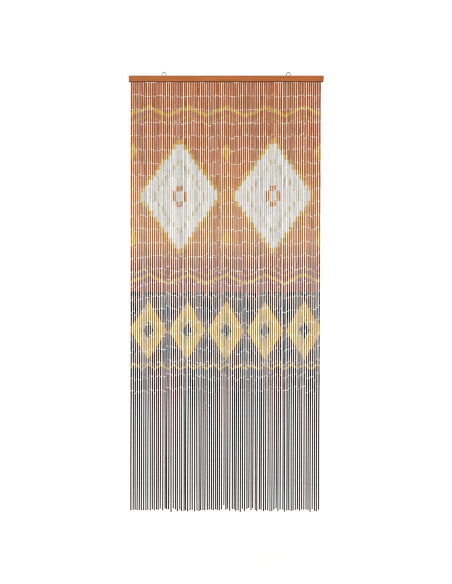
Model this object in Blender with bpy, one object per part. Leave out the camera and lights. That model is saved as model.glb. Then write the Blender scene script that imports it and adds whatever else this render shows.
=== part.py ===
"""Bamboo bead door curtain on its wooden rail, in metres, +Z up, with the front towards -Y.

The origin is the middle of the rail's top face. The rail carries two wire loops in its top edge
and 90 strands under it. Each strand is a beaded run, a thin wire link and one long stick, all
square in section, and the strands' roots are fused into one narrow strip under the rail.
"""

import math
import random

import bmesh
import bpy
from mathutils import Vector

# Rail
RAIL_LENGTH = 0.900
RAIL_HEIGHT = 0.030
RAIL_DEPTH = 0.012
RAIL_ARRIS = 0.0012
RAIL_ARRIS_STEPS = 2
RAIL_WORN_CORNER = (0.006, 0.009)  # width and height lost at the lower right corner
RAIL_WORN_STEPS = 4

# Wire loops in the rail's top edge
LOOP_SPACING = 0.575
LOOP_RADIUS = 0.009
LOOP_CENTRE_HEIGHT = 0.006
LOOP_WIRE = 0.0026
LOOP_LEG_DEPTH = 0.014
LOOP_ARCH_STEPS = 18
LOOP_WIRE_STEPS = 2
LEFT_LOOP_POINT = 0.0014  # how far the left loop's crown is drawn up, where the right one is round
LOOP_POINT_POWER = 6  # the higher, the narrower the drawn-up crown
LOOP_HOLE_SIDES = 12

# Strands
STRANDS = 90
FIRST_STRAND_X = -0.4374
STRAND_PITCH = 0.00977
STICK_WIDTH = 0.0052
LINK_WIDTH = 0.0016
LINK_LENGTH = 0.003
LINK_DEPTH = 1.4500  # from the rail's top to the last wire link, at the middle of the link
TIP_DEPTH = 2.0057
LINK_SCATTER = 0.0090
LINK_BATCH_SCATTER = 0.0140
TIP_SCATTER = 0.0045
TIP_SCATTER_LIMIT = 0.0095
BATCH_SIZES = (3, 9)  # strands strung to one measure, side by side

# The beaded run is strung with thicker tubes at its top and thinner ones below: the share of the
# run from its top, and the width there. A strand may bend at each of these places.
BEAD_RUN = (
    (0.0, 0.0076),
    (0.36, 0.0069),
    (0.70, 0.0056),
    (1.0, 0.0052),
)

# Strung strands hang a little unevenly: standard deviations at the hook and at the tip
HOOK_SCATTER = 0.00025
SWAY_SCATTER = 0.00040
STICK_SCATTER = 0.0009
DEPTH_SCATTER = 0.0007
OFFSET_LIMIT = 0.0016
LEAN_LEFT_EDGE = 0.0024  # how far the strand at each edge has drifted to the left at its tip
LEAN_RIGHT_EDGE = 0.0076
SEED = 23

# Wider gaps between neighbours: the strand to the left of the gap, and the extra width
WIDER_GAPS = (
    (8, 0.0005),
    (15, 0.0006),
    (19, 0.0006),
    (25, 0.0010),
    (33, 0.0010),
    (53, 0.0006),
    (61, 0.0010),
    (72, 0.0011),
)
# Where the strands stray from even spacing, to the right: the strand, and how far it strays at its
# hook and at its tip. The strands in between follow in proportion.
STRAYS = (
    (1, 0.0005, 0.0006),
    (16, 0.0003, 0.0004),
    (25, 0.0001, 0.0006),
    (29, 0.0008, 0.0014),
    (33, 0.0010, 0.0025),
    (38, 0.0006, 0.0022),
    (46, 0.0003, 0.0001),
    (60, 0.0002, -0.0002),
    (76, 0.0001, 0.0006),
    (80, 0.0007, 0.0013),
    (84, 0.0018, 0.0025),
    (90, 0.0009, 0.0018),
)
# Strands cut short: the strand, and how much shorter it is
SHORT_STRANDS = ((45, 0.0250),)
# Strands with one tube more: the strand, and how much lower its last link hangs
LONGER_RUNS = (
    (36, 0.0650),
    (38, 0.0650),
)

# Strip that holds the strands' roots
STRIP_HEIGHT = 0.002

CLEARANCE = 0.0003

# Colours are linear, then roughness and metallic value
PAINTED_WOOD = ((0.45, 0.145, 0.047), 0.45, 0.0)
PAINTED_BAMBOO = ((0.38, 0.085, 0.022), 0.50, 0.0)
PLAIN_STEEL = ((0.42, 0.40, 0.37), 0.35, 1.0)


def clear_scene():
    for item in list(bpy.data.objects):
        bpy.data.objects.remove(item)


def make_material(name, finish):
    colour, roughness, metallic = finish
    material = bpy.data.materials.new(name)
    material.use_nodes = True
    surface = material.node_tree.nodes["Principled BSDF"]
    surface.inputs["Base Color"].default_value = (*colour, 1.0)
    surface.inputs["Roughness"].default_value = roughness
    surface.inputs["Metallic"].default_value = metallic
    return material


def make_object(name, data, material, parent):
    piece = bpy.data.objects.new(name, data)
    bpy.context.collection.objects.link(piece)
    data.materials.append(material)
    piece.parent = parent
    return piece


def mesh_from(name, shape):
    mesh = bpy.data.meshes.new(name)
    shape.to_mesh(mesh)
    shape.free()
    return mesh


def kept_within(value, limit):
    return max(-limit, min(limit, value))


def rail_outline():
    """The rail from the front: square at the left end, worn round at the lower right corner."""
    left, right = -RAIL_LENGTH / 2, RAIL_LENGTH / 2
    worn_width, worn_height = RAIL_WORN_CORNER
    outline = [(left, 0.0), (left, -RAIL_HEIGHT)]
    for step in range(RAIL_WORN_STEPS + 1):
        turn = math.pi / 2 * step / RAIL_WORN_STEPS
        x = right - worn_width * (1 - math.sin(turn))
        z = -RAIL_HEIGHT + worn_height * (1 - math.cos(turn))
        outline.append((x, z))
    outline.append((right, 0.0))
    return outline


def make_rail(parent):
    shape = bmesh.new()
    corners = [shape.verts.new((x, -RAIL_DEPTH / 2, z)) for x, z in rail_outline()]
    front = shape.faces.new(corners)
    back = bmesh.ops.extrude_face_region(shape, geom=[front])
    moved = [item for item in back["geom"] if isinstance(item, bmesh.types.BMVert)]
    bmesh.ops.translate(shape, verts=moved, vec=Vector((0, RAIL_DEPTH, 0)))
    bmesh.ops.recalc_face_normals(shape, faces=shape.faces)
    long_faces = [face for face in shape.faces if len(face.verts) == len(corners)]
    arrises = {edge for face in long_faces for edge in face.edges}
    bmesh.ops.bevel(
        shape,
        geom=list(arrises),
        offset=RAIL_ARRIS,
        segments=RAIL_ARRIS_STEPS,
        profile=0.5,
        affect="EDGES",
    )
    rail = make_object(
        "rail", mesh_from("rail", shape), make_material("painted_wood", PAINTED_WOOD), parent
    )
    for cutter in make_leg_cutters(parent):
        hole = rail.modifiers.new("leg hole", "BOOLEAN")
        hole.operation = "DIFFERENCE"
        hole.object = cutter
    return rail


def make_leg_cutters(parent):
    """One round cutter for each leg of the loops, 0.3 mm wider all round than the wire."""
    radius = (LOOP_WIRE / 2 + CLEARANCE) / math.cos(math.pi / LOOP_HOLE_SIDES)
    bottom = -(LOOP_LEG_DEPTH + CLEARANCE)
    top = CLEARANCE + RAIL_ARRIS
    cutters = []
    for side in (-1, 1):
        for leg in (-1, 1):
            shape = bmesh.new()
            bmesh.ops.create_cone(
                shape,
                cap_ends=True,
                segments=LOOP_HOLE_SIDES,
                radius1=radius,
                radius2=radius,
                depth=top - bottom,
            )
            cutter = bpy.data.objects.new("leg cutter", mesh_from("leg cutter", shape))
            bpy.context.collection.objects.link(cutter)
            cutter.parent = parent
            cutter.location = (
                side * LOOP_SPACING / 2 + leg * LOOP_RADIUS,
                0.0,
                (top + bottom) / 2,
            )
            cutter.rotation_euler.z = math.pi / LOOP_HOLE_SIDES
            cutter.hide_render = True
            cutter.display_type = "WIRE"
            cutters.append(cutter)
    return cutters


def loop_path(point):
    """The wire's centre line, up one leg, over the arch and down the other leg."""
    path = [(-LOOP_RADIUS, -LOOP_LEG_DEPTH)]
    for step in range(LOOP_ARCH_STEPS + 1):
        turn = math.pi * (1 - step / LOOP_ARCH_STEPS)
        drawn_up = point * math.sin(turn) ** LOOP_POINT_POWER
        x = LOOP_RADIUS * math.cos(turn)
        z = LOOP_CENTRE_HEIGHT + LOOP_RADIUS * math.sin(turn) + drawn_up
        path.append((x, z))
    path.append((LOOP_RADIUS, -LOOP_LEG_DEPTH))
    return path


def make_loop(name, x, point, material, parent):
    curve = bpy.data.curves.new(name, "CURVE")
    curve.dimensions = "3D"
    curve.bevel_depth = LOOP_WIRE / 2
    curve.bevel_resolution = LOOP_WIRE_STEPS
    curve.use_fill_caps = True
    path = loop_path(point)
    spline = curve.splines.new("POLY")
    spline.points.add(len(path) - 1)
    for node, (along, up) in zip(spline.points, path):
        node.co = (along, 0.0, up, 1.0)
    loop = make_object(name, curve, material, parent)
    loop.location = (x, 0.0, 0.0)
    return loop


def strand_rows():
    """What each strand was strung and cut to, one row a strand, from the left."""
    draw = random.Random(SEED)
    shifts = [0.0] * STRANDS
    for left_strand, extra in WIDER_GAPS:
        shifts[left_strand - 1] -= extra / 2
        shifts[left_strand] += extra / 2
    shorter = dict(SHORT_STRANDS)
    longer_run = dict(LONGER_RUNS)
    rows = []
    left_in_batch = 0
    for index in range(STRANDS):
        if left_in_batch == 0:
            left_in_batch = draw.randint(*BATCH_SIZES)
            batch_drop = draw.uniform(-LINK_BATCH_SCATTER, LINK_BATCH_SCATTER)
        left_in_batch -= 1
        tip_drop = kept_within(draw.gauss(0, TIP_SCATTER), TIP_SCATTER_LIMIT)
        link_drop = batch_drop + longer_run.get(index + 1, 0.0)
        rows.append(
            {
                "index": index,
                "hook": shifts[index] + draw.gauss(0, HOOK_SCATTER),
                "sway": draw.gauss(0, SWAY_SCATTER),
                "stick": draw.gauss(0, STICK_SCATTER),
                "depth": draw.gauss(0, DEPTH_SCATTER),
                "link": LINK_DEPTH + link_drop + draw.uniform(-LINK_SCATTER, LINK_SCATTER),
                "tip": TIP_DEPTH + tip_drop - shorter.get(index + 1, 0.0),
            }
        )
    return rows


def stray(number, fall):
    """How far a strand strays to the right, by the two listed strands that it lies between."""
    for (first, hook, tip), (second, next_hook, next_tip) in zip(STRAYS, STRAYS[1:]):
        if number <= second:
            across = (number - first) / (second - first)
            at_hook = hook + (next_hook - hook) * across
            at_tip = tip + (next_tip - tip) * across
            return at_hook + (at_tip - at_hook) * fall
    return 0.0


def strand_centre(row, down):
    """Where a strand's middle is, sideways and in depth, at a distance below the rail's top."""
    share = down / TIP_DEPTH
    across = row["index"] / (STRANDS - 1)
    lean = (LEAN_LEFT_EDGE + (LEAN_RIGHT_EDGE - LEAN_LEFT_EDGE) * across) * share
    below_link = max(0.0, down - row["link"]) / (TIP_DEPTH - LINK_DEPTH)
    offset = kept_within(
        row["hook"] + row["sway"] * share + row["stick"] * below_link, OFFSET_LIMIT
    )
    even = FIRST_STRAND_X + row["index"] * STRAND_PITCH
    x = even + offset + stray(row["index"] + 1, share) - lean
    y = kept_within(row["depth"] * share, OFFSET_LIMIT)
    return x, y


def strand_sections(row):
    """A strand's sections from its root to its tip: the distance down, and the width there."""
    root = RAIL_HEIGHT + CLEARANCE + STRIP_HEIGHT
    run_end = row["link"] - LINK_LENGTH / 2
    stick_start = row["link"] + LINK_LENGTH / 2
    sections = [(root + (run_end - root) * share, width) for share, width in BEAD_RUN[1:]]
    sections += [
        (run_end, LINK_WIDTH),
        (stick_start, LINK_WIDTH),
        (stick_start, STICK_WIDTH),
        (row["tip"], STICK_WIDTH),
    ]
    return sections


def add_ring(shape, x, y, z, width_x, width_y):
    """Four corners of a level section, front left, front right, back right, back left."""
    signs = ((-1, -1), (1, -1), (1, 1), (-1, 1))
    return [
        shape.verts.new((x + along * width_x / 2, y + deep * width_y / 2, z))
        for along, deep in signs
    ]


def join_rings(shape, upper, lower):
    for corner in range(4):
        after = (corner + 1) % 4
        shape.faces.new((upper[corner], lower[corner], lower[after], upper[after]))


def add_strand(shape, row, root):
    """Continues a strand down from the four corners of its root in the strip."""
    ring = root
    for down, width in strand_sections(row):
        x, y = strand_centre(row, down)
        lower = add_ring(shape, x, y, -down, width, width)
        join_rings(shape, ring, lower)
        ring = lower
    shape.faces.new(reversed(ring))


def make_strands(parent):
    """One strip with a root for every strand in its underside, and the strands below it."""
    shape = bmesh.new()
    strip_top = -(RAIL_HEIGHT + CLEARANCE)
    strip_bottom = strip_top - STRIP_HEIGHT
    root_width = BEAD_RUN[0][1]
    last_top, last_root = None, None
    for row in strand_rows():
        x, y = strand_centre(row, 0.0)
        top = add_ring(shape, x, y, strip_top, root_width, root_width)
        root = add_ring(shape, x, y, strip_bottom, root_width, root_width)
        shape.faces.new(top)
        shape.faces.new((top[0], root[0], root[1], top[1]))
        shape.faces.new((top[2], root[2], root[3], top[3]))
        if last_top is None:
            shape.faces.new((top[3], root[3], root[0], top[0]))
        else:
            shape.faces.new((last_top[1], top[0], top[3], last_top[2]))
            shape.faces.new((last_top[1], last_root[1], root[0], top[0]))
            shape.faces.new((top[3], root[3], last_root[2], last_top[2]))
            shape.faces.new((last_root[1], last_root[2], root[3], root[0]))
        add_strand(shape, row, root)
        last_top, last_root = top, root
    shape.faces.new((last_top[1], last_root[1], last_root[2], last_top[2]))
    bmesh.ops.recalc_face_normals(shape, faces=shape.faces)
    return make_object(
        "strands",
        mesh_from("strands", shape),
        make_material("painted_bamboo", PAINTED_BAMBOO),
        parent,
    )


def main():
    clear_scene()
    curtain = bpy.data.objects.new("curtain", None)
    bpy.context.collection.objects.link(curtain)
    steel = make_material("plain_steel", PLAIN_STEEL)
    make_rail(curtain)
    make_loop("hanging_loop_left", -LOOP_SPACING / 2, LEFT_LOOP_POINT, steel, curtain)
    make_loop("hanging_loop_right", LOOP_SPACING / 2, 0.0, steel, curtain)
    make_strands(curtain)


main()
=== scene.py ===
"""Bamboo bead door curtain, dressed: painted tubes on wire links, long sticks, rail and wire loops.

Everything is in metres, +Z up, with the front towards -Y and the origin at the middle of the
rail's top face. A depth is a distance below that face.
"""

import math
import random

import bmesh
import bpy
import numpy
from bpy.props import FloatProperty, FloatVectorProperty, PointerProperty
from mathutils import Matrix, Vector


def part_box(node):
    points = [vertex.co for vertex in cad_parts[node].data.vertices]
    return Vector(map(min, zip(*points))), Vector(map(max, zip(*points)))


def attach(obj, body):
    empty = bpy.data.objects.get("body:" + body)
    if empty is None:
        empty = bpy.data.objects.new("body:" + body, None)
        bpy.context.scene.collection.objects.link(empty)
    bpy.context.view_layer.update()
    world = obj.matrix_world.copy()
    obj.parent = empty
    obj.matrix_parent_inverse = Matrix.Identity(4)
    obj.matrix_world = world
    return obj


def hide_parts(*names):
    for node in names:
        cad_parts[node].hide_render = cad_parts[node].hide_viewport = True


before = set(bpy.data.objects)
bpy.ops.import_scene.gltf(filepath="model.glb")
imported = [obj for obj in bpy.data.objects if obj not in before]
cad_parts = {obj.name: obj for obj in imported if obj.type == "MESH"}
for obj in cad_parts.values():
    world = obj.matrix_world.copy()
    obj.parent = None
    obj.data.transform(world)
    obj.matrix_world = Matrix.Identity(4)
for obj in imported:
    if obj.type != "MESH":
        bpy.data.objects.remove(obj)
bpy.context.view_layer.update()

bl_info = {
    "name": "Bamboo door curtain",
    "version": (1, 0, 0),
    "blender": (4, 5, 0),
    "location": "View3D > Sidebar > Curtain",
    "description": "Strings a painted bamboo bead door curtain under its rail",
    "category": "Add Mesh",
}

# The strands as they were strung and cut, with the same draws as the solids
STRANDS = 90
FIRST_STRAND_X = -0.4374
STRAND_PITCH = 0.00977
LINK_DEPTH = 1.4500
TIP_DEPTH = 2.0057
LINK_SCATTER = 0.0090
LINK_BATCH_SCATTER = 0.0140
TIP_SCATTER = 0.0045
TIP_SCATTER_LIMIT = 0.0095
BATCH_SIZES = (3, 9)
HOOK_SCATTER = 0.00025
SWAY_SCATTER = 0.00040
STICK_SCATTER = 0.0009
DEPTH_SCATTER = 0.0007
OFFSET_LIMIT = 0.0016
LEAN_LEFT_EDGE = 0.0024
LEAN_RIGHT_EDGE = 0.0076
SEED = 23
WIDER_GAPS = (
    (8, 0.0005), (15, 0.0006), (19, 0.0006), (25, 0.0010),
    (33, 0.0010), (53, 0.0006), (61, 0.0010), (72, 0.0011),
)
# The strand, and how far it strays to the right at its hook and at its tip
STRAYS = (
    (1, 0.0005, 0.0006),
    (16, 0.0003, 0.0004),
    (25, 0.0001, 0.0006),
    (29, 0.0008, 0.0014),
    (33, 0.0010, 0.0025),
    (38, 0.0006, 0.0022),
    (46, 0.0003, 0.0001),
    (60, 0.0002, -0.0002),
    (76, 0.0001, 0.0006),
    (80, 0.0007, 0.0013),
    (84, 0.0018, 0.0025),
    (90, 0.0009, 0.0018),
)
SHORT_STRANDS = ((45, 0.0250),)
LONGER_RUNS = ((36, 0.0650), (38, 0.0650))

# Tube widths: the share of the beaded run from its top, and the width there
TUBE_WIDTHS = ((0.0, 0.0077), (0.36, 0.0070), (0.70, 0.0058), (1.0, 0.0056))

# Tubes: how many hang on a strand, and the rows that are joined into one piece
TUBE_ROWS = 23
TUBE_BANDS = (("upper", 0, 8), ("middle", 8, 16), ("lower", 16, 24))
LINK_BANDS = (("upper", 0, 8), ("middle", 8, 16), ("lower", 16, 25))
GAP_SPREAD = (0.3, 1.7)  # shares of the even gap
TOP_GAP_SPREAD = (0.8, 1.2)  # shares of the space over the first tube
WIDTH_SPREAD = (0.97, 1.06)  # shares of the even width of a tube or a stick
OVAL_LIMIT = 0.03
TIGHT_STRANDS = (31, 62)  # the first and the last strand whose last gap is drawn nearly shut
TIGHT_GAP = 0.35
TUBE_SIDES = 10
TUBE_KINDS = 5
AT_END = 0.999  # the share of half a length past which a face is an end
BORE_FLOOR = 0.8  # the share of a bore's width that its floor has
STRINGING_SEED = 41
PRINT_SCATTER = 0.0022  # how far the print lies too high or too low on a strand
# Strands whose first tube hangs a whole link below the rail: the first and the last of each group
LOW_GROUPS = ((8, 12), (18, 19), (34, 35), (50, 51), (69, 72), (78, 79))

# Along a tube: shares of its width, and those of a joint of the culm with the distance from it
TUBE_END_SPREAD = (0.96, 1.01)
TUBE_MIDDLE_SPREAD = (0.99, 1.05)
CULM_JOINT = ((-0.0018, 0.99), (0.0, 1.10), (0.0018, 0.99))

# Sticks: places as shares of half the length, from -1 at the tip, and sizes there
STICK_TIP = ((-1.0, 0.95), (-0.997, 1.10), (-0.980, 1.0))
STICK_TIP_SPREAD = (0.86, 0.94)  # shares of the width, as STICK_WALL is of the radius
STICK_JOINT = ((-0.010, 0.97), (0.0, 1.08), (0.007, 0.96))
STICK_TOP = (1.0, 1.04)
STICK_WALL = 0.45
STICK_SIDES = 8
STICK_KINDS = 5
STICK_SEED = 7

# Wire links and loops
EYE_SIDES = 8
EYE_WIRE_SIDES = 4
LOOP_WIRE_SIDES = 16
LOOP_ARCH_STEPS = 32
LOOP_POINT_POWER = 6

# The print: depths of its ground colours
GROUND_BANDS = (
    (0.030, "terracotta"),
    (0.260, "terracotta"),
    (0.420, "orange"),
    (0.560, "ochre"),
    (0.760, "ochre"),
    (0.900, "rust"),
    (1.010, "rust"),
    (1.022, "earth"),
    (1.345, "earth"),
    (1.358, "charcoal"),
    (1.620, "charcoal"),
    (2.050, "slate"),
)
GROUND_REACH = TIP_DEPTH * 1.05
# Borders: the middle depth, half width, paint and strength of each
BORDERS = (
    (0.165, 0.0085, "gold", 0.90),
    (0.205, 0.0035, "straw", 0.75),
    (0.905, 0.0035, "straw", 0.75),
    (0.940, 0.0075, "gold", 0.85),
)
BORDER_SWING = 0.020
BORDER_PERIOD = 0.180
# Smaller motifs: half the width and half the height of a diamond, and sizes in the dark band
SMALL_DIAMOND = (0.026, 0.040)
DARK_DIAMOND = (0.040, 0.062)
DARK_DIAMOND_RISE = 0.095
GOLD_DIAMOND_HALF_HEIGHT = 0.135
BAND_EDGE = 0.010  # how far the dashes and the lower zigzag lie inside the band
DASH_PERIOD = 0.060
DASH_HALF_HEIGHT = 0.009
FOOT_LINE = (0.010, 0.060, 0.005)  # swing, period and half width
# Soft edges: where a mark starts to show, and where it is full
DASH_EDGE = (0.022, 0.020)
FOOT_TOP = (1.350, 1.362)
FOOT_FADE = (1.95, 1.45)
STICK_ENDS = (1.90, 1.92)
DIPPED_TIP = (0.011, 0.005)
CHIPPED_END = (0.0008, 0.0002)

# Grain: spots of noise in a metre across, in depth and upwards
BAMBOO_GRAIN = (900.0, 900.0, 22.0)
RAIL_GRAIN = (7.0, 150.0, 150.0)
RAIL_PORES = (60.0, 900.0, 900.0)
RAIL_PATCHES = (4.0, 20.0, 20.0)

# The rail's marks, with the painted shade along its top and lower edges: how far from an edge each
# starts to show, and where it is full
RAIL_TOP_SHADE = (0.0055, 0.0015)
RAIL_UNDERSIDE_SHADE = (0.0046, 0.0030)
RAIL_WORN_FACE = (0.0009, 0.0002)
RAIL_WORN_ARRIS = (0.0010, 0.0003)
RAIL_END_GRAIN = (0.0004, 0.0001)

# The stage
KEY_PLACE = (-2.4, -5.2, 0.9)
KEY_SIZE = 2.4
FILL_PLACE = (3.6, -3.2, -0.4)
FILL_SIZE = 1.8
FLOOR_SIDES = 96
CAMERA_REACH = 60.0

MERGE_DISTANCE = 0.00001
SMOOTH_ANGLE = math.radians(50)
BAKE_MAP = "OFBake"
SIDE_SHARE = 0.80  # of a bake cell's width, for the sides; the two ends share the rest
CELL_MARGIN = 0.05


def linear(red, green, blue):
    """A paint colour, named by its screen values from 0 to 255, as Blender's linear values."""
    shares = [value / 255 for value in (red, green, blue)]
    return tuple(
        share / 12.92 if share <= 0.04045 else ((share + 0.055) / 1.055) ** 2.4
        for share in shares
    )


def length(name, description, default):
    return FloatProperty(
        name=name, description=description, default=default, precision=5, unit="LENGTH"
    )


def share(name, description, default):
    return FloatProperty(
        name=name, description=description, default=default, min=0.0, subtype="FACTOR"
    )


def colour(name, description, default):
    return FloatVectorProperty(
        name=name, description=description, default=default, size=3, subtype="COLOR"
    )


class StringingSettings(bpy.types.PropertyGroup):
    """Sizes of the tubes, links and sticks."""

    tube_width: length("Tube width", "Outer width that the tubes are modelled at", 0.0060)
    tube_length: length("Tube length", "Length that the tubes are cut to", 0.0589)
    first_length: length("First length", "Length of the tube under the rail", 0.0602)
    batch_scatter: length("Batch scatter", "Scatter of a batch's tube lengths", 0.0026)
    own_scatter: length("Own scatter", "Scatter of a tube's length in its batch", 0.0018)
    bore_width: length("Bore width", "Width of the hole in a tube's end", 0.0034)
    bore_depth: length("Bore depth", "How deep the wire's seat lies in a tube's end", 0.0015)
    gap: length("Gap", "Even space between two tubes, bridged by a link", 0.0018)
    low_gap: length("Low gap", "Space over the first tube where it hangs low", 0.0028)
    high_gap: length("High gap", "Space over the first tube where it hangs close", 0.0007)
    tube_wobble: length("Tube wobble", "How far a tube's end strays sideways", 0.00022)
    eye_width: length("Eye width", "Width of a wire eye between its wires' middles", 0.0020)
    eye_height: length("Eye height", "Height of a wire eye between its wires' middles", 0.0024)
    eye_wire: length("Eye wire", "Thickness of the links' wire", 0.00084)
    stick_width: length("Stick width", "Outer width of a long stick", 0.0054)
    stick_bow: length("Stick bow", "How far a long stick bows to one side", 0.0007)
    tube_bow: length("Tube bow", "How far the most bowed tube bows to one side", 0.0004)


class LoopSettings(bpy.types.PropertyGroup):
    """Sizes of the two wire loops in the rail's top edge."""

    spacing: length("Spacing", "Distance between the two loops", 0.5750)
    radius: length("Radius", "Radius of a loop at its wire's middle", 0.0090)
    centre_height: length("Centre height", "Height of a loop's centre over the rail", 0.0060)
    wire: length("Wire", "Thickness of the loops' wire", 0.0026)
    leg_depth: length("Leg depth", "How deep a leg stands in the rail", 0.0140)
    left_point: length("Left point", "How far the left loop's crown is drawn up", 0.0014)


class PrintSettings(bpy.types.PropertyGroup):
    """Places and sizes of the painted pattern, as depths and distances from the middle."""

    lozenge_across: length("Lozenge across", "Middle of a lozenge, from the curtain's", 0.2160)
    lozenge_depth: length("Lozenge depth", "Depth of the lozenges' middle", 0.5560)
    lozenge_half_width: length("Lozenge half width", "Half the width of a lozenge", 0.1720)
    lozenge_half_height: length("Lozenge half height", "Half the height of a lozenge", 0.2360)
    stair: length("Stair", "Height of the stairs in a lozenge's edge", 0.0240)
    band_top: length("Band top", "Depth where the dark band's border starts", 1.0000)
    band_bottom: length("Band bottom", "Depth where the charcoal foot starts", 1.3550)
    band_period: length("Band period", "Distance between the large diamonds", 0.1800)


class PaintSettings(bpy.types.PropertyGroup):
    """Colours of the curtain's paints and wires."""

    terracotta: colour("Terracotta", "Paint of the top", linear(166, 101, 47))
    orange: colour("Orange", "Paint under the first border", linear(172, 110, 42))
    ochre: colour("Ochre", "Paint behind the lozenges", linear(176, 120, 50))
    rust: colour("Rust", "Paint above the dark band", linear(138, 72, 38))
    earth: colour("Earth", "Ground of the dark band", linear(86, 58, 36))
    charcoal: colour("Charcoal", "Paint of the foot and the sticks", linear(14, 7, 6))
    slate: colour("Slate", "Greyer paint in the foot", linear(46, 40, 39))
    maroon: colour("Maroon", "Red streaks in the foot", linear(84, 34, 31))
    gold: colour("Gold", "Outlines and diamonds", linear(182, 147, 20))
    straw: colour("Straw", "Paler gold", linear(164, 141, 44))
    pale: colour("Pale grey", "Lozenges", linear(192, 189, 184))
    bamboo: colour("Bare bamboo", "Cut ends and chipped paint", linear(208, 184, 146))
    rail: colour("Rail", "Paint of the rail", linear(162, 102, 54))
    rail_light: colour("Rail, light", "Lighter streaks in the rail", linear(174, 113, 62))
    # Painted shade: the dark line along the rail's lower edge stands in for its shaded underside
    rail_shaded_edge: colour("Rail, painted shade", "Painted shade along the rail's lower edge", linear(100, 45, 18))
    wire: colour("Wire", "Bright wire", linear(136, 129, 118))


class StageSettings(bpy.types.PropertyGroup):
    """Camera, lights and floor."""

    view_x: length("View across", "Point that the camera looks at", -0.0009)
    view_z: length("View height", "Height of the camera and of the point it looks at", -0.9993)
    view_height: length("View height span", "Height of the picture at the curtain", 2.698)
    camera_distance: length("Camera distance", "Distance from the curtain", 9.0)
    floor_z: length("Floor height", "Height of the floor", -2.365)
    floor_radius: length("Floor radius", "Radius of the floor", 2.4)
    sky: share("Sky", "Brightness of the white surroundings", 1.02)
    pixel_filter: FloatProperty(
        name="Pixel filter", description="Width of the picture's pixel filter", default=1.15
    )
    contrast: share("Picture gamma", "Below 1, the picture's middle tones are darker", 0.72)
    key_power: FloatProperty(
        name="Key light", description="Power of the large front light", default=120.0, unit="POWER"
    )
    fill_power: FloatProperty(
        name="Fill light", description="Power of the smaller side light", default=30.0, unit="POWER"
    )


class Value:
    """A shader socket. Arithmetic on it adds Math nodes to its material."""

    def __init__(self, finish, socket):
        self.finish = finish
        self.socket = socket

    def maths(self, operation, *others):
        return self.finish.maths(operation, self, *others)

    def __add__(self, other):
        return self.maths("ADD", other)

    def __radd__(self, other):
        return self.finish.maths("ADD", other, self)

    def __sub__(self, other):
        return self.maths("SUBTRACT", other)

    def __rsub__(self, other):
        return self.finish.maths("SUBTRACT", other, self)

    def __mul__(self, other):
        return self.maths("MULTIPLY", other)

    def __rmul__(self, other):
        return self.finish.maths("MULTIPLY", other, self)

    def __truediv__(self, other):
        return self.maths("DIVIDE", other)

    def __abs__(self):
        return self.maths("ABSOLUTE")


class Finish:
    """A material in the making, with one Principled surface."""

    def __init__(self, name, roughness, metallic=0.0, specular=0.5):
        self.material = bpy.data.materials.new(name)
        self.material.use_nodes = True
        self.tree = self.material.node_tree
        self.surface = self.tree.nodes["Principled BSDF"]
        fixed = {"Roughness": roughness, "Metallic": metallic, "Specular IOR Level": specular}
        for socket, value in fixed.items():
            self.surface.inputs[socket].default_value = value

    def feed(self, socket, value):
        if isinstance(value, Value):
            self.tree.links.new(value.socket, socket)
        elif socket.type == "RGBA" and len(value) == 3:
            socket.default_value = (*value, 1.0)
        else:
            socket.default_value = value

    def node(self, kind, settings=None, inputs=None, output=0):
        """Adds a node: its settings first, then the values or links of its sockets."""
        node = self.tree.nodes.new(kind)
        for name, value in (settings or {}).items():
            if name == "stops":
                self.set_stops(node.color_ramp, value)
            else:
                setattr(node, name, value)
        for name, value in (inputs or {}).items():
            self.feed(node.inputs[name], value)
        return Value(self, node.outputs[output])

    def set_stops(self, ramp, stops):
        while len(ramp.elements) < len(stops):
            ramp.elements.new(1.0)
        for element, (place, shade) in zip(ramp.elements, stops):
            element.position = place
            element.color = (*shade, 1.0)

    def maths(self, operation, *values):
        return self.node("ShaderNodeMath", {"operation": operation}, dict(enumerate(values)))

    def place(self):
        """The point on the surface, and its x, y and z."""
        point = self.node("ShaderNodeTexCoord", output="Object")
        parts = [
            self.node("ShaderNodeSeparateXYZ", inputs={"Vector": point}, output=axis)
            for axis in "XYZ"
        ]
        return point, *parts

    def stretched(self, point, scale):
        return self.node("ShaderNodeMapping", inputs={"Vector": point, "Scale": scale})

    def noise(self, point, scale, detail=2.0, roughness=0.5):
        inputs = {"Vector": point, "Scale": scale, "Detail": detail, "Roughness": roughness}
        return self.node("ShaderNodeTexNoise", inputs=inputs, output="Fac")

    def attribute(self, name):
        settings = {"attribute_type": "GEOMETRY", "attribute_name": name}
        return self.node("ShaderNodeAttribute", settings, output="Fac")

    def between(self, value, low, high):
        """0 below low, 1 above high, and smooth between them. It falls where low is above high."""
        settings = {"interpolation_type": "SMOOTHSTEP"}
        inputs = {"Value": value, "From Min": low, "From Max": high}
        return self.node("ShaderNodeMapRange", settings, inputs)

    def mixed(self, factor, under, over):
        """One colour laid over another where the factor is 1."""
        settings = {"data_type": "RGBA", "clamp_factor": True}
        return self.node("ShaderNodeMix", settings, {0: factor, 6: under, 7: over}, output=2)

    def dimmed(self, shade, factor):
        """A colour made darker or lighter all through."""
        settings = {"operation": "SCALE"}
        return self.node("ShaderNodeVectorMath", settings, {0: shade, "Scale": factor})

    def bumped(self, height, distance):
        inputs = {"Height": height, "Distance": distance}
        return self.node("ShaderNodeBump", inputs=inputs, output="Normal")

    def wear(self, **sockets):
        """Feeds the surface's colour, roughness and normal, and gives the material."""
        names = {"colour": "Base Color", "roughness": "Roughness", "normal": "Normal"}
        for name, value in sockets.items():
            self.feed(self.surface.inputs[names[name]], value)
        return self.material


def kept_within(value, limit):
    return max(-limit, min(limit, value))


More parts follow.
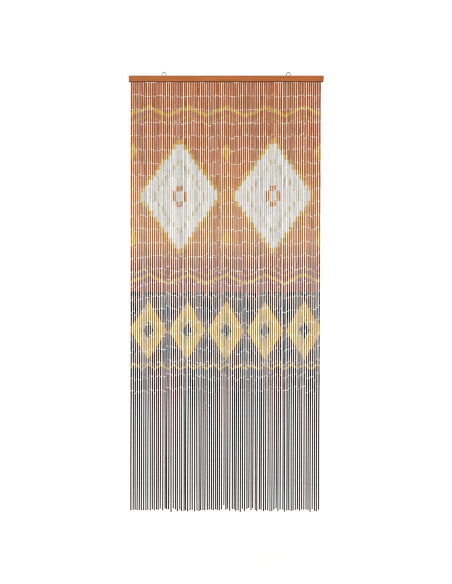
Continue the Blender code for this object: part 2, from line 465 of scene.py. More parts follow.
def strand_rows():
    """What each strand was strung and cut to, one row a strand, from the left."""
    draw = random.Random(SEED)
    shifts = [0.0] * STRANDS
    for left_strand, extra in WIDER_GAPS:
        shifts[left_strand - 1] -= extra / 2
        shifts[left_strand] += extra / 2
    shorter = dict(SHORT_STRANDS)
    longer_run = dict(LONGER_RUNS)
    rows = []
    left_in_batch = 0
    for index in range(STRANDS):
        if left_in_batch == 0:
            left_in_batch = draw.randint(*BATCH_SIZES)
            batch_drop = draw.uniform(-LINK_BATCH_SCATTER, LINK_BATCH_SCATTER)
        left_in_batch -= 1
        tip_drop = kept_within(draw.gauss(0, TIP_SCATTER), TIP_SCATTER_LIMIT)
        link_drop = batch_drop + longer_run.get(index + 1, 0.0)
        rows.append(
            {
                "index": index,
                "hook": shifts[index] + draw.gauss(0, HOOK_SCATTER),
                "sway": draw.gauss(0, SWAY_SCATTER),
                "stick": draw.gauss(0, STICK_SCATTER),
                "depth": draw.gauss(0, DEPTH_SCATTER),
                "link": LINK_DEPTH + link_drop + draw.uniform(-LINK_SCATTER, LINK_SCATTER),
                "tip": TIP_DEPTH + tip_drop - shorter.get(index + 1, 0.0),
            }
        )
    return rows


def stray(number, fall):
    """How far a strand strays to the right, by the two listed strands that it lies between."""
    for (first, hook, tip), (second, next_hook, next_tip) in zip(STRAYS, STRAYS[1:]):
        if number <= second:
            across = (number - first) / (second - first)
            at_hook = hook + (next_hook - hook) * across
            at_tip = tip + (next_tip - tip) * across
            return at_hook + (at_tip - at_hook) * fall
    return 0.0


def strand_point(row, down):
    """Where a strand's middle is at a depth."""
    fall = down / TIP_DEPTH
    across = row["index"] / (STRANDS - 1)
    lean = (LEAN_LEFT_EDGE + (LEAN_RIGHT_EDGE - LEAN_LEFT_EDGE) * across) * fall
    below_link = max(0.0, down - row["link"]) / (TIP_DEPTH - LINK_DEPTH)
    offset = row["hook"] + row["sway"] * fall + row["stick"] * below_link
    even = FIRST_STRAND_X + row["index"] * STRAND_PITCH
    x = even + kept_within(offset, OFFSET_LIMIT) + stray(row["index"] + 1, fall) - lean
    y = kept_within(row["depth"] * fall, OFFSET_LIMIT)
    return Vector((x, y, -down))


def width_at(run_share):
    """The width of a tube at a share of the beaded run, between the two widths it lies between."""
    for (start, wide), (end, narrow) in zip(TUBE_WIDTHS, TUBE_WIDTHS[1:]):
        if run_share <= end:
            return wide + (narrow - wide) * (run_share - start) / (end - start)
    return TUBE_WIDTHS[-1][1]


def strung(settings):
    """The strands' rows, each with its tubes as (top depth, bottom depth), and its own tones."""
    rail_bottom = -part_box("rail")[0][2]
    longer_run = dict(LONGER_RUNS)
    draw = random.Random(STRINGING_SEED)
    rows = strand_rows()
    left_in_batch = 0
    for row in rows:
        if left_in_batch == 0:
            left_in_batch = draw.randint(*BATCH_SIZES)
            batch = [draw.gauss(0, settings.batch_scatter) for _ in range(TUBE_ROWS + 1)]
        left_in_batch -= 1
        number = row["index"] + 1
        count = TUBE_ROWS + 1 if number in longer_run else TUBE_ROWS
        low = any(first <= number <= last for first, last in LOW_GROUPS)
        even_gap = settings.low_gap if low else settings.high_gap
        row["top_gap"] = even_gap * draw.uniform(*TOP_GAP_SPREAD)
        lengths = [settings.first_length] + [settings.tube_length] * (count - 1)
        lengths = [
            even + shared + draw.gauss(0, settings.own_scatter)
            for even, shared in zip(lengths, batch)
        ]
        gaps = [settings.gap * draw.uniform(*GAP_SPREAD) for _ in range(count)]
        if TIGHT_STRANDS[0] <= number <= TIGHT_STRANDS[1] and number not in longer_run:
            gaps[-1] *= TIGHT_GAP
        top = rail_bottom + row["top_gap"]
        fit = (row["link"] + gaps[-1] / 2 - top - sum(gaps)) / sum(lengths)
        row["tubes"] = []
        for cut, gap in zip(lengths, gaps):
            row["tubes"].append((top, top + cut * fit))
            top += cut * fit + gap
        row["stick_top"] = top
        row["strand_tone"] = draw.uniform(-1, 1)
        row["print_shift"] = draw.gauss(0, PRINT_SCATTER)
    return rows


def start_clean():
    """Deselects everything, so that an operator acts on new parts alone."""
    bpy.ops.object.select_all(action="DESELECT")


def start_edit():
    """Puts a new part's place in its mesh and opens it, with all its faces selected."""
    bpy.ops.object.transform_apply(location=True, rotation=True, scale=True)
    bpy.ops.object.mode_set(mode="EDIT")
    bpy.ops.mesh.select_mode(type="FACE")
    bpy.ops.mesh.select_all(action="SELECT")


def end_edit():
    bpy.ops.object.mode_set(mode="OBJECT")


def start_disc(name, sides, radius, place):
    """A level disc, open for shaping."""
    start_clean()
    bpy.ops.mesh.primitive_circle_add(
        vertices=sides, radius=radius, fill_type="NGON", location=place
    )
    disc = bpy.context.object
    disc.name = name
    start_edit()
    return disc


def face_outwards():
    """Merges what lies in one place, and turns every face outwards."""
    bpy.ops.mesh.select_all(action="SELECT")
    bpy.ops.mesh.remove_doubles(threshold=MERGE_DISTANCE)
    bpy.ops.mesh.normals_make_consistent(inside=False)


def pick(piece, kind, wanted):
    """Selects the verts or faces of the edited mesh for which wanted is true."""
    bpy.ops.mesh.select_mode(type=kind)
    bpy.ops.mesh.select_all(action="DESELECT")
    shape = bmesh.from_edit_mesh(piece.data)
    for part in shape.verts if kind == "VERT" else shape.faces:
        if wanted(part):
            part.select_set(True)
    shape.select_flush_mode()
    bmesh.update_edit_mesh(piece.data)


def draw_rod(name, sides, radius, sections):
    """A rod drawn up from a disc through its sections: height, size and shift to one side."""
    height, size, shift = sections[0]
    rod = start_disc(name, sides, radius * size, (0, 0, height))
    for next_height, next_size, next_shift in sections[1:]:
        step = (next_shift - shift, 0, next_height - height)
        bpy.ops.mesh.extrude_region_move(TRANSFORM_OT_translate={"value": step})
        grow = next_size / size
        middle = (next_shift, 0, next_height)
        bpy.ops.transform.resize(value=(grow, grow, 1), center_override=middle)
        height, size, shift = next_height, next_size, next_shift
    face_outwards()
    return rod


def sink_bore(rod, end, half, wall, depth):
    """Sinks a hole into one end face, 1 at the top and -1 at the bottom."""
    pick(rod, "FACE", lambda face: all(vert.co.z * end > half * AT_END for vert in face.verts))
    bpy.ops.mesh.inset(thickness=wall, use_even_offset=True)
    bpy.ops.mesh.extrude_region_move(TRANSFORM_OT_translate={"value": (0, 0, -end * depth)})
    floor_middle = (0, 0, end * (half - depth))
    bpy.ops.transform.resize(value=(BORE_FLOOR, BORE_FLOOR, 1), center_override=floor_middle)


def paint_sides(rod, half, depth):
    """Paints the rod, and leaves its cut ends and their holes bare."""
    rod.data.materials.append(kept_material("painted_bamboo", make_painted_bamboo))
    rod.data.materials.append(kept_material("bare_bamboo", make_bare_bamboo))
    painted_half = half - depth * 1.1
    pick(rod, "FACE", lambda face: all(abs(vert.co.z) > painted_half for vert in face.verts))
    rod.active_material_index = 1
    bpy.ops.object.material_slot_assign()
    end_edit()
    bpy.ops.object.shade_smooth_by_angle(angle=SMOOTH_ANGLE)


def bake_layer(mesh):
    """The mesh's bake map, made where it has none."""
    layer = mesh.uv_layers.active or mesh.uv_layers.new()
    layer.name = BAKE_MAP
    return layer


def lay_bake_map(mesh, half_length, radius):
    """Lays the sides out as one strip, upright in a unit cell, with the two ends beside it."""
    layer = bake_layer(mesh)
    for face in mesh.polygons:
        on_side = face.material_index == 0
        middle = math.atan2(face.center.x, face.center.y)
        for corner in face.loop_indices:
            spot = mesh.vertices[mesh.loops[corner].vertex_index].co
            if on_side:
                turn = math.atan2(spot.x, spot.y)
                turn += 2 * math.pi * round((middle - turn) / (2 * math.pi))
                u = (turn / (2 * math.pi) + 0.5) * SIDE_SHARE
                v = spot.z / half_length / 2 + 0.5
            else:
                end = 1 if face.center.z > 0 else 0
                u = SIDE_SHARE + (1 - SIDE_SHARE) * (0.5 + 0.4 * spot.x / radius)
                v = 0.5 * end + 0.25 + 0.2 * spot.y / radius
            layer.uv[corner].vector = (u, v)


def mark_ends(mesh, half_length):
    """Stores how far each point is from the nearer end of its tube or stick, in metres."""
    from_end = mesh.attributes.new("from_end", "FLOAT", "POINT")
    heights = numpy.empty(len(mesh.vertices) * 3, dtype=numpy.float32)
    mesh.vertices.foreach_get("co", heights)
    from_end.data.foreach_set("value", half_length - abs(heights[2::3]))


def finish_rod(rod, half, radius, settings):
    paint_sides(rod, half, settings.bore_depth)
    lay_bake_map(rod.data, half, radius)
    mark_ends(rod.data, half)
    return rod


def model_tube(settings, kind, draw):
    """One tube: narrower to one end, bowed, or with a joint of the culm in it."""
    half = settings.tube_length / 2
    radius = settings.tube_width / 2
    middle = draw.uniform(-0.3, 0.3) * half
    lower, upper = draw.uniform(*TUBE_END_SPREAD), draw.uniform(*TUBE_END_SPREAD)
    if kind == TUBE_KINDS - 1:
        inner = [(middle + away, size, 0) for away, size in CULM_JOINT]
    else:
        bow = settings.tube_bow * kind / (TUBE_KINDS - 2)
        inner = [(middle, draw.uniform(*TUBE_MIDDLE_SPREAD), bow)]
    sections = [(-half, lower, 0), *inner, (half, upper, 0)]
    tube = draw_rod(f"tube_kind_{kind}", TUBE_SIDES, radius, sections)
    wall = (settings.tube_width - settings.bore_width) / 2
    for end in (-1, 1):
        sink_bore(tube, end, half, wall, settings.bore_depth)
    return finish_rod(tube, half, radius, settings)


def model_stick(settings, kind, draw, stick_length):
    """One long stick with joints of the culm, a little bowed and thinner to its blunt tip."""
    half = stick_length / 2
    radius = settings.stick_width / 2
    tip = draw.uniform(*STICK_TIP_SPREAD)
    side = draw.choice((-1, 1)) * settings.stick_bow
    profile = [(place, tip * size) for place, size in STICK_TIP]
    count = 2 + kind % 2
    for number in range(count):
        joint = -1 + 2 * (number + draw.uniform(0.25, 0.75)) / count
        profile += [(joint + away, size) for away, size in STICK_JOINT]
    profile.append(STICK_TOP)
    sections = [(place * half, size, side * (1 - place * place)) for place, size in profile]
    stick = draw_rod(f"stick_kind_{kind}", STICK_SIDES, radius, sections)
    sink_bore(stick, 1, half, radius * STICK_WALL, settings.bore_depth)
    return finish_rod(stick, half, radius, settings)


def model_link(settings):
    """Two wire eyes that hang in each other, the lower one turned by a quarter."""
    radius = settings.eye_width / 2
    draw_out = (settings.eye_height - settings.eye_width) / 2
    hang = (settings.eye_height - settings.eye_wire) / 2
    eyes = []
    for side, turn in ((1, 0.0), (-1, math.pi / 2)):
        start_clean()
        bpy.ops.mesh.primitive_torus_add(
            location=(0, 0, side * hang),
            rotation=(math.pi / 2, 0, turn),
            major_segments=EYE_SIDES,
            minor_segments=EYE_WIRE_SIDES,
            major_radius=radius,
            minor_radius=settings.eye_wire / 2,
        )
        eye = bpy.context.object
        start_edit()
        for half in (-1, 1):
            pick(eye, "VERT", lambda vert: (vert.co.z - side * hang) * half > radius * 0.5)
            bpy.ops.transform.translate(value=(0, 0, half * draw_out))
        end_edit()
        eyes.append(eye)
    link = join_copies(eyes, "link_kind")
    link.data.materials.append(kept_material("bright_wire", make_bright_wire))
    bpy.ops.object.shade_smooth()
    lay_link_map(link.data)
    return link


def lay_link_map(mesh):
    """Gives every face of the link a small cell of its own in the bake map."""
    layer = bake_layer(mesh)
    columns = math.ceil(math.sqrt(len(mesh.polygons)))
    corners = ((0.1, 0.1), (0.9, 0.1), (0.9, 0.9), (0.1, 0.9))
    for face in mesh.polygons:
        column, row = face.index % columns, face.index // columns
        for corner, (u, v) in zip(face.loop_indices, corners):
            layer.uv[corner].vector = ((column + u) / columns, (row + v) / columns)


def copy_between(template, upper, lower, reach, widths, turn):
    """A copy with its own mesh, stretched from one point to another and turned on its length."""
    mesh = template.data.copy()
    axis = (upper - lower).normalized()
    lay = Vector((0, 0, 1)).rotation_difference(axis).to_matrix().to_4x4()
    stretch = Matrix.Diagonal((*widths, (upper - lower).length / reach, 1))
    middle = Matrix.Translation((upper + lower) / 2)
    mesh.transform(middle @ lay @ stretch @ Matrix.Rotation(turn, 4, "Z"))
    copy = bpy.data.objects.new("copy", mesh)
    bpy.context.collection.objects.link(copy)
    return copy


def place_in_map(mesh, column, row, rows):
    """Moves a copy's bake map into its own cell: a column for each strand, a row for each level."""
    layer = mesh.uv_layers[BAKE_MAP]
    spots = numpy.empty(len(layer.uv) * 2, dtype=numpy.float32)
    layer.uv.foreach_get("vector", spots)
    inner = 1 - 2 * CELL_MARGIN
    spots[0::2] = (column + CELL_MARGIN + inner * spots[0::2]) / STRANDS
    spots[1::2] = (row + CELL_MARGIN + inner * spots[1::2]) / rows
    layer.uv.foreach_set("vector", spots)


def mark(mesh, row, tone):
    """Stores a copy's own tone and its strand's values at every point, for the paint to read."""
    values = {"tone": tone, "strand_tone": row["strand_tone"], "print_shift": row["print_shift"]}
    for name, value in values.items():
        attribute = mesh.attributes.new(name, "FLOAT", "POINT")
        filled = numpy.full(len(mesh.vertices), value, dtype=numpy.float32)
        attribute.data.foreach_set("value", filled)


def join_copies(copies, name):
    """Joins the copies into one piece."""
    start_clean()
    for copy in copies:
        copy.select_set(True)
    bpy.context.view_layer.objects.active = copies[0]
    bpy.ops.object.join()
    piece = bpy.context.object
    piece.name = name
    piece.data.name = name
    return piece


def remove_templates(templates):
    for template in templates:
        bpy.data.objects.remove(template)


def hang_tube(settings, row, number, kinds, draw):
    """A copy of one of the kinds of tube, in its place on a strand."""
    ends = []
    for depth in row["tubes"][number]:
        wobble = [draw.gauss(0, settings.tube_wobble) for _ in range(2)]
        ends.append(strand_point(row, depth) + Vector((*wobble, 0)))
    size = width_at((number + 0.5) / TUBE_ROWS) / settings.tube_width
    size *= draw.uniform(*WIDTH_SPREAD)
    oval = draw.uniform(-OVAL_LIMIT, OVAL_LIMIT)
    widths = (size * (1 + oval), size * (1 - oval))
    kind = draw.choice(kinds)
    turn = draw.uniform(0, 2 * math.pi)
    copy = copy_between(kind, *ends, settings.tube_length, widths, turn)
    mark(copy.data, row, draw.uniform(-1, 1))
    return copy


def string_tubes(settings):
    draw = random.Random(STRINGING_SEED + 1)
    kinds = [model_tube(settings, kind, draw) for kind in range(TUBE_KINDS)]
    rows = strung(settings)
    for band, first, past in TUBE_BANDS:
        copies = []
        for row in rows:
            for number in range(first, min(past, len(row["tubes"]))):
                copy = hang_tube(settings, row, number, kinds, draw)
                place_in_map(copy.data, row["index"], number - first, past - first)
                copies.append(copy)
        tubes = join_copies(copies, f"tubes_{band}")
        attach(tubes, "root")
        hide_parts("strands")
    remove_templates(kinds)


def string_links(settings):
    draw = random.Random(STRINGING_SEED + 2)
    template = model_link(settings)
    full = 2 * settings.eye_height
    rows = strung(settings)
    for band, first, past in LINK_BANDS:
        copies = []
        for row in rows:
            tops = [tube[0] for tube in row["tubes"]] + [row["stick_top"]]
            bottoms = [tops[0] - row["top_gap"] - settings.bore_depth]
            bottoms += [tube[1] for tube in row["tubes"]]
            for number in range(first, min(past, len(tops))):
                upper = strand_point(row, bottoms[number] - settings.bore_depth)
                lower = strand_point(row, tops[number] + settings.bore_depth)
                turn = draw.uniform(0, math.pi)
                copy = copy_between(template, upper, lower, full, (1.0, 1.0), turn)
                place_in_map(copy.data, row["index"], number - first, past - first)
                copies.append(copy)
        links = join_copies(copies, f"links_{band}")
        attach(links, "root")
        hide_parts("strands")
    remove_templates([template])


def hang_sticks(settings):
    draw = random.Random(STICK_SEED)
    reach = TIP_DEPTH - LINK_DEPTH
    kinds = [model_stick(settings, kind, draw, reach) for kind in range(STICK_KINDS)]
    copies = []
    for row in strung(settings):
        upper = strand_point(row, row["stick_top"])
        lower = strand_point(row, row["tip"])
        size = draw.uniform(*WIDTH_SPREAD)
        turn = draw.uniform(0, 2 * math.pi)
        copy = copy_between(draw.choice(kinds), upper, lower, reach, (size, size), turn)
        mark(copy.data, row, draw.uniform(-1, 1))
        place_in_map(copy.data, row["index"], 0, 1)
        copies.append(copy)
    sticks = join_copies(copies, "long_sticks")
    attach(sticks, "root")
    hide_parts("strands")
    remove_templates(kinds)


def bend_loop(name, x, point, settings, node):
    """Wire drawn up one leg, spun over the arch and drawn down the other leg."""
    centre = (x, 0, settings.centre_height)
    leg = settings.centre_height + settings.leg_depth
    foot = (x - settings.radius, 0, -settings.leg_depth)
    loop = start_disc(name, LOOP_WIRE_SIDES, settings.wire / 2, foot)
    bpy.ops.mesh.extrude_region_move(TRANSFORM_OT_translate={"value": (0, 0, leg)})
    bpy.ops.mesh.spin(steps=LOOP_ARCH_STEPS, angle=math.pi, center=centre, axis=(0, -1, 0))
    bpy.ops.mesh.extrude_region_move(TRANSFORM_OT_translate={"value": (0, 0, -leg)})
    face_outwards()
    if point:
        draw_up_crown(loop, x, point, settings)
    end_edit()
    bpy.ops.object.shade_smooth_by_angle(angle=SMOOTH_ANGLE)
    loop.data.name = name
    loop.data.materials.append(kept_material("bright_wire", make_bright_wire))
    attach(loop, "root")
    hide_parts(node)


def draw_up_crown(loop, x, point, settings):
    """Draws the upper half of a loop up to a blunt point."""
    shape = bmesh.from_edit_mesh(loop.data)
    for vert in shape.verts:
        up = vert.co.z - settings.centre_height
        if up > 0:
            turn = math.atan2(up, vert.co.x - x)
            vert.co.z += point * math.sin(turn) ** LOOP_POINT_POWER
    bmesh.update_edit_mesh(loop.data)


def kept_material(name, make):
    """The material of that name, made the first time that it is asked for."""
    return bpy.data.materials.get(name) or make(name)


def line_mask(finish, distance, half_width, soft=0.0015):
    """1 where a distance is under half a line's width."""
    return finish.between(abs(distance), half_width + soft, half_width - soft)


def zigzag(finish, x, depth, middle, swing, period, half_width):
    """1 on a line that zigzags about its middle depth."""
    wave = finish.maths("PINGPONG", x, period / 2) * (4 * swing / period) - swing
    return line_mask(finish, depth - middle - wave, half_width)


def repeated(finish, x, period, offset=0.0):
    """The distance from the nearest of a row of middles, a period apart."""
    return abs(finish.maths("WRAP", x - offset, period / 2, -period / 2))


def diamond(across, down, half_width, half_height):
    """1 on a diamond's edge and 0 at its middle."""
    return across / half_width + down / half_height


def filled(finish, reach, edge, soft, ground, shade, strength=1.0):
    """Paint laid over the ground where a motif's reach is under its edge."""
    inside = finish.between(reach, edge + soft, edge - soft)
    return finish.mixed(inside * strength, ground, shade)


def ground_paint(finish, depth, paint):
    """The ground colour, dipped in bands from terracotta down to charcoal and slate."""
    stops = [(down / GROUND_REACH, getattr(paint, name)) for down, name in GROUND_BANDS]
    inputs = {"Fac": depth / GROUND_REACH}
    return finish.node("ShaderNodeValToRGB", {"stops": stops}, inputs)


def foot_paint(finish, x, depth, ground, tones, paint):
    """Slate and maroon streaks in the charcoal foot."""
    in_foot = finish.between(depth, *FOOT_TOP)
    flat = finish.node("ShaderNodeCombineXYZ", inputs={"X": x * 9.0, "Y": depth * 1.2})
    patches = finish.noise(flat, 1.0, 1.0)
    maroon = finish.between(patches + tones * 0.06, 0.45, 0.54) * in_foot
    slate = finish.between(patches - tones * 0.10, 0.44, 0.34) * in_foot
    fading = finish.between(depth, *FOOT_FADE)
    ground = finish.mixed(maroon * (0.35 + 0.55 * fading), ground, paint.maroon)
    return finish.mixed(slate * (0.75 - 0.40 * fading), ground, paint.slate)


def border_paint(finish, x, depth, ground, paint):
    """Gold zigzags over the lozenges and under them."""
    for middle, half_width, name, strength in BORDERS:
        line = zigzag(finish, x, depth, middle, BORDER_SWING, BORDER_PERIOD, half_width)
        ground = finish.mixed(line * strength, ground, getattr(paint, name))
    return ground


def lozenge_paint(finish, x, depth, ground, plan, paint):
    """Two large pale lozenges with stepped gold edges, and small diamonds round them."""
    across = abs(abs(x) - plan.lozenge_across)
    down = abs(depth - plan.lozenge_depth)
    stepped = finish.maths("SNAP", down, plan.stair)
    reach = diamond(across, stepped, plan.lozenge_half_width, plan.lozenge_half_height)
    ground = filled(finish, reach, 1.11, 0.010, ground, paint.gold)
    ground = filled(finish, reach, 1.02, 0.010, ground, paint.pale)
    ground = filled(finish, abs(reach - 0.66), 0.026, 0.004, ground, paint.straw, 0.55)
    ground = filled(finish, reach, 0.19, 0.010, ground, paint.ochre)
    ground = filled(finish, reach, 0.10, 0.010, ground, paint.pale)
    beside = repeated(finish, x, 2 * plan.lozenge_across)
    above = abs(down - plan.lozenge_half_height * 0.86)
    small = diamond(beside, above, *SMALL_DIAMOND)
    return filled(finish, small, 1.0, 0.050, ground, paint.gold, 0.9)


def band_paint(finish, x, depth, ground, plan, paint):
    """Large gold diamonds with dark hearts in the dark band, between dashes and a zigzag."""
    middle = (plan.band_top + plan.band_bottom) / 2
    down = abs(depth - middle)
    across = repeated(finish, x, plan.band_period)
    large = diamond(across, down, plan.band_period * 0.47, GOLD_DIAMOND_HALF_HEIGHT)
    ground = filled(finish, large, 1.01, 0.030, ground, paint.gold)
    ground = filled(finish, large, 0.595, 0.025, ground, paint.straw)
    ground = filled(finish, large, 0.28, 0.020, ground, paint.charcoal)
    between = repeated(finish, x, plan.band_period, plan.band_period / 2)
    dark = diamond(between, abs(down - DARK_DIAMOND_RISE), *DARK_DIAMOND)
    ground = filled(finish, dark, 1.0, 0.040, ground, paint.charcoal)
    dashes = finish.between(repeated(finish, x, DASH_PERIOD), *DASH_EDGE)
    rule = line_mask(finish, depth - plan.band_top - BAND_EDGE, DASH_HALF_HEIGHT)
    ground = finish.mixed(dashes * rule, ground, paint.charcoal)
    foot_line = zigzag(finish, x, depth, plan.band_bottom - BAND_EDGE, *FOOT_LINE)
    return finish.mixed(foot_line * 0.85, ground, paint.gold)


def make_painted_bamboo(name):
    """Thin matt paint over bamboo: patterned, streaked along the grain and chipped at the ends."""
    paint = bpy.context.scene.curtain_paint
    plan = bpy.context.scene.curtain_print
    finish = Finish(name, roughness=0.55, specular=0.05)
    point, x, _, z = finish.place()
    tone = finish.attribute("tone")
    strand_tone = finish.attribute("strand_tone")
    from_end = finish.attribute("from_end")
    depth = finish.attribute("print_shift") - z
    brushed = depth + (finish.noise(point, 38.0, 1.0) - 0.5) * 0.010
    ground = ground_paint(finish, brushed, paint)
    ground = foot_paint(finish, x, brushed, ground, tone + strand_tone, paint)
    ground = border_paint(finish, x, depth, ground, paint)
    ground = lozenge_paint(finish, x, depth, ground, plan, paint)
    ground = band_paint(finish, x, depth, ground, plan, paint)
    tip = finish.between(from_end, *DIPPED_TIP) * finish.between(depth, *STICK_ENDS)
    ground = finish.mixed(tip * 0.85, ground, paint.charcoal)

    grain = finish.noise(finish.stretched(point, BAMBOO_GRAIN), 1.0, 2.0, 0.6)
    blotches = finish.noise(point, 85.0, 1.0)
    light = 1.0 + tone * 0.10 + strand_tone * 0.09 + (grain - 0.5) * 0.55 + (blotches - 0.5) * 0.18
    turned = 0.5 + strand_tone * 0.008 - tone * 0.006
    hues = {"Color": ground, "Hue": turned, "Value": light}
    painted = finish.node("ShaderNodeHueSaturation", inputs=hues)
    thin = finish.between(grain + blotches * 0.5 + tone * 0.05, 0.92, 1.02)
    ragged = from_end - (grain - 0.5) * 0.0030 - (blotches - 0.5) * 0.0018
    chipped = finish.between(ragged, *CHIPPED_END)
    bare = finish.maths("MAXIMUM", thin * 0.35, chipped * 0.6) * (1.0 - tip)
    return finish.wear(
        colour=finish.mixed(bare, painted, paint.bamboo),
        roughness=0.42 + grain * 0.22 + bare * 0.15,
        normal=finish.bumped(grain + blotches * 0.4, 0.00022),
    )


def make_bare_bamboo(name):
    """Cut ends and bores: pale pith with darker fibres and rings."""
    paint = bpy.context.scene.curtain_paint
    finish = Finish(name, roughness=0.7, specular=0.3)
    point = finish.place()[0]
    fibres = finish.noise(point, 1500.0, 1.0)
    rings = finish.noise(point, 320.0, 2.0)
    dark = tuple(channel * 0.45 for channel in paint.bamboo)
    darker = finish.between(fibres + rings * 0.5, 0.62, 0.95)
    return finish.wear(
        colour=finish.mixed(darker, paint.bamboo, dark),
        roughness=0.62 + fibres * 0.2,
        normal=finish.bumped(fibres, 0.0002),
    )


def make_bright_wire(name):
    """Drawn wire: bright, with a fine drawn grain and dull spots."""
    paint = bpy.context.scene.curtain_paint
    finish = Finish(name, roughness=0.3, metallic=1.0)
    point = finish.place()[0]
    dull = finish.noise(point, 420.0, 2.0)
    drawn = finish.noise(point, 2600.0, 1.0)
    tarnish = tuple(channel * 0.55 for channel in paint.wire)
    return finish.wear(
        colour=finish.mixed(finish.between(dull, 0.48, 0.72), paint.wire, tarnish),
        roughness=0.24 + dull * 0.26,
        normal=finish.bumped(drawn, 0.00005),
    )


def near_edge(finish, place, edge, span):
    """1 close to an edge and 0 away from it, with the two distances between which it rises."""
    start, full = span
    return finish.between(place, edge - start, edge - full)


def paint_rail():
    """Satin paint over wood on the rail: long grain and worn arrises, with painted shade: a darker
    top edge and a dark line along the lower edge that stands in for the shaded underside.
    """
    paint = bpy.context.scene.curtain_paint
    low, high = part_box("rail")
    half_length = (high[0] - low[0]) / 2
    half_depth = (high[1] - low[1]) / 2
    half_height = (high[2] - low[2]) / 2
    finish = Finish("painted_rail", roughness=0.45, specular=0.4)
    point, x, y, z = finish.place()
    grain = finish.noise(finish.stretched(point, RAIL_GRAIN), 1.0, 3.0, 0.55)
    pores = finish.noise(finish.stretched(point, RAIL_PORES), 1.0, 2.0, 0.6)
    patches = finish.noise(finish.stretched(point, RAIL_PATCHES), 1.0, 1.0)
    lighter = finish.between(grain + (patches - 0.5) * 0.5, 0.30, 0.70)
    shade = finish.mixed(lighter, paint.rail, paint.rail_light)
    shade = finish.dimmed(shade, 1.0 + (pores - 0.5) * 0.25 + (patches - 0.5) * 0.10)
    # Painted shade: the rail's face a little darker towards its top edge
    shaded_top = near_edge(finish, z, high[2], RAIL_TOP_SHADE)
    shade = finish.dimmed(shade, 1.0 - shaded_top * 0.09)
    worn = near_edge(finish, abs(y), half_depth, RAIL_WORN_FACE)
    from_middle = abs(z - (low[2] + high[2]) / 2)
    near_arris = near_edge(finish, from_middle, half_height, RAIL_WORN_ARRIS)
    chips = finish.between(finish.noise(point, 240.0, 2.0), 0.60, 0.70) * near_arris * worn
    shade = finish.mixed(chips * 0.5, shade, paint.bamboo)
    # Painted shade: a dark line along the lower edge, standing in for the rail's shaded underside
    ragged = z + (grain - 0.5) * 0.001
    underside_shade = finish.between(ragged, *(low[2] + height for height in RAIL_UNDERSIDE_SHADE))
    shade = finish.mixed(underside_shade * 0.92, shade, paint.rail_shaded_edge)
    end_grain = near_edge(finish, abs(x), half_length, RAIL_END_GRAIN)
    shade = finish.dimmed(shade, 1.0 - end_grain * 0.25)
    material = finish.wear(
        colour=shade,
        roughness=0.36 + grain * 0.2 + chips * 0.2,
        normal=finish.bumped(grain * 0.6 + pores * 0.4, 0.0003),
    )
    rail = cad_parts["rail"]
    rail.data.materials.clear()
    rail.data.materials.append(material)


def set_stage(settings):
    """White surroundings, two front lights, a pale floor and the camera."""
    world = bpy.data.worlds.new("studio")
    world.use_nodes = True
    background = world.node_tree.nodes["Background"]
    background.inputs["Color"].default_value = (1.0, 1.0, 1.0, 1.0)
    background.inputs["Strength"].default_value = settings.sky
    scene = bpy.context.scene
    scene.world = world
    scene.view_settings.view_transform = "Standard"
    scene.view_settings.gamma = settings.contrast
    scene.cycles.filter_width = settings.pixel_filter

    add_softbox("key_light", KEY_PLACE, KEY_SIZE, settings.key_power, settings)
    add_softbox("fill_light", FILL_PLACE, FILL_SIZE, settings.fill_power, settings)
    add_floor(settings)
    add_camera(settings)


def add_softbox(name, place, size, power, settings):
    start_clean()
    target = Vector((0, 0, settings.view_z))
    turn = (Vector(place) - target).to_track_quat("Z", "Y").to_euler()
    bpy.ops.object.light_add(type="AREA", location=place, rotation=turn)
    light = bpy.context.object
    light.name = name
    light.data.energy = power
    light.data.size = size


def add_floor(settings):
    start_clean()
    place = (0, 0, settings.floor_z)
    bpy.ops.mesh.primitive_circle_add(
        vertices=FLOOR_SIDES, radius=settings.floor_radius, fill_type="NGON", location=place
    )
    floor = bpy.context.object
    floor.name = "studio_floor"
    finish = Finish("studio_floor", roughness=0.8, specular=0.1)
    point = finish.place()[0]
    scuffs = finish.noise(point, 3.0, 2.0)
    shade = finish.mixed(scuffs, (0.95, 0.95, 0.95), (0.98, 0.98, 0.98))
    floor.data.materials.append(finish.wear(colour=shade))


def add_camera(settings):
    start_clean()
    bpy.ops.object.camera_add(
        location=(settings.view_x, -settings.camera_distance, settings.view_z),
        rotation=(math.pi / 2, 0, 0),
    )
    camera = bpy.context.object
    camera.name = "front_camera"
    camera.data.lens = camera.data.sensor_width * settings.camera_distance / settings.view_height
    camera.data.clip_end = CAMERA_REACH
    bpy.context.scene.camera = camera


class CURTAIN_OT_set_stage(bpy.types.Operator):
    """Set the camera, the lights and the floor"""

    bl_idname = "curtain.set_stage"
    bl_label = "Set stage"
    bl_options = {"REGISTER", "UNDO"}

    def execute(self, context):
        set_stage(context.scene.curtain_stage)
        return {"FINISHED"}


class CURTAIN_OT_paint_rail(bpy.types.Operator):
    """Paint the wooden rail"""

    bl_idname = "curtain.paint_rail"
    bl_label = "Paint rail"
    bl_options = {"REGISTER", "UNDO"}

    def execute(self, context):
        paint_rail()
        return {"FINISHED"}


class CURTAIN_OT_bend_loops(bpy.types.Operator):
    """Bend the two wire loops and stand them in the rail"""

    bl_idname = "curtain.bend_loops"
    bl_label = "Bend loops"
    bl_options = {"REGISTER", "UNDO"}

    def execute(self, context):
        settings = context.scene.curtain_loops
        half = settings.spacing / 2
        bend_loop("wire_loop_left", -half, settings.left_point, settings, "hanging_loop_left")
        bend_loop("wire_loop_right", half, 0.0, settings, "hanging_loop_right")
        return {"FINISHED"}


class CURTAIN_OT_string_tubes(bpy.types.Operator):
    """Hang the painted bamboo tubes under the rail"""

    bl_idname = "curtain.string_tubes"
    bl_label = "String tubes"
    bl_options = {"REGISTER", "UNDO"}

    def execute(self, context):
        string_tubes(context.scene.curtain_stringing)
        return {"FINISHED"}


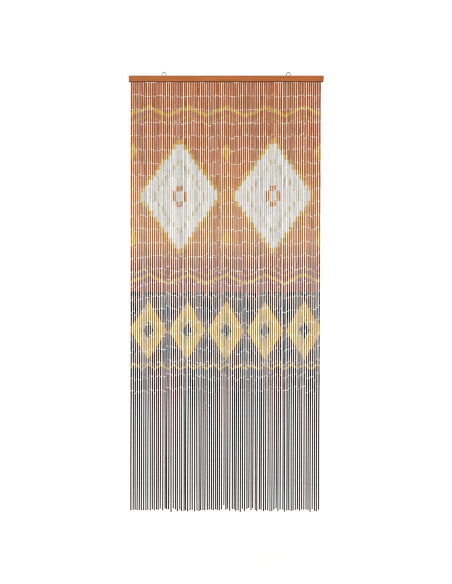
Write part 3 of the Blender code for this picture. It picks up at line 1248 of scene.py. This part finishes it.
class CURTAIN_OT_string_links(bpy.types.Operator):
    """Join the tubes with pairs of wire eyes"""

    bl_idname = "curtain.string_links"
    bl_label = "String links"
    bl_options = {"REGISTER", "UNDO"}

    def execute(self, context):
        string_links(context.scene.curtain_stringing)
        return {"FINISHED"}


class CURTAIN_OT_hang_sticks(bpy.types.Operator):
    """Hang the long sticks under the tubes"""

    bl_idname = "curtain.hang_sticks"
    bl_label = "Hang sticks"
    bl_options = {"REGISTER", "UNDO"}

    def execute(self, context):
        hang_sticks(context.scene.curtain_stringing)
        return {"FINISHED"}


class CURTAIN_PT_panel(bpy.types.Panel):
    """Lists the curtain's pieces"""

    bl_idname = "CURTAIN_PT_panel"
    bl_label = "Door curtain"
    bl_space_type = "VIEW_3D"
    bl_region_type = "UI"
    bl_category = "Curtain"

    def draw(self, context):
        for operator in OPERATORS:
            self.layout.operator(operator.bl_idname)
        for name in SETTINGS:
            group = getattr(context.scene, name)
            box = self.layout.box()
            for key in group.__annotations__:
                box.prop(group, key)


SETTINGS = {
    "curtain_stage": StageSettings,
    "curtain_loops": LoopSettings,
    "curtain_stringing": StringingSettings,
    "curtain_print": PrintSettings,
    "curtain_paint": PaintSettings,
}
OPERATORS = (
    CURTAIN_OT_set_stage,
    CURTAIN_OT_paint_rail,
    CURTAIN_OT_bend_loops,
    CURTAIN_OT_string_tubes,
    CURTAIN_OT_string_links,
    CURTAIN_OT_hang_sticks,
)
CLASSES = (*SETTINGS.values(), *OPERATORS, CURTAIN_PT_panel)


def register():
    for item in CLASSES:
        bpy.utils.register_class(item)
    for name, group in SETTINGS.items():
        setattr(bpy.types.Scene, name, PointerProperty(type=group))


def unregister():
    for name in SETTINGS:
        delattr(bpy.types.Scene, name)
    for item in reversed(CLASSES):
        bpy.utils.unregister_class(item)


def main():
    register()
    bpy.ops.curtain.set_stage()
    bpy.ops.curtain.paint_rail()
    bpy.ops.curtain.bend_loops()
    bpy.ops.curtain.string_tubes()
    bpy.ops.curtain.string_links()
    bpy.ops.curtain.hang_sticks()


if __name__ == "__main__":
    main()
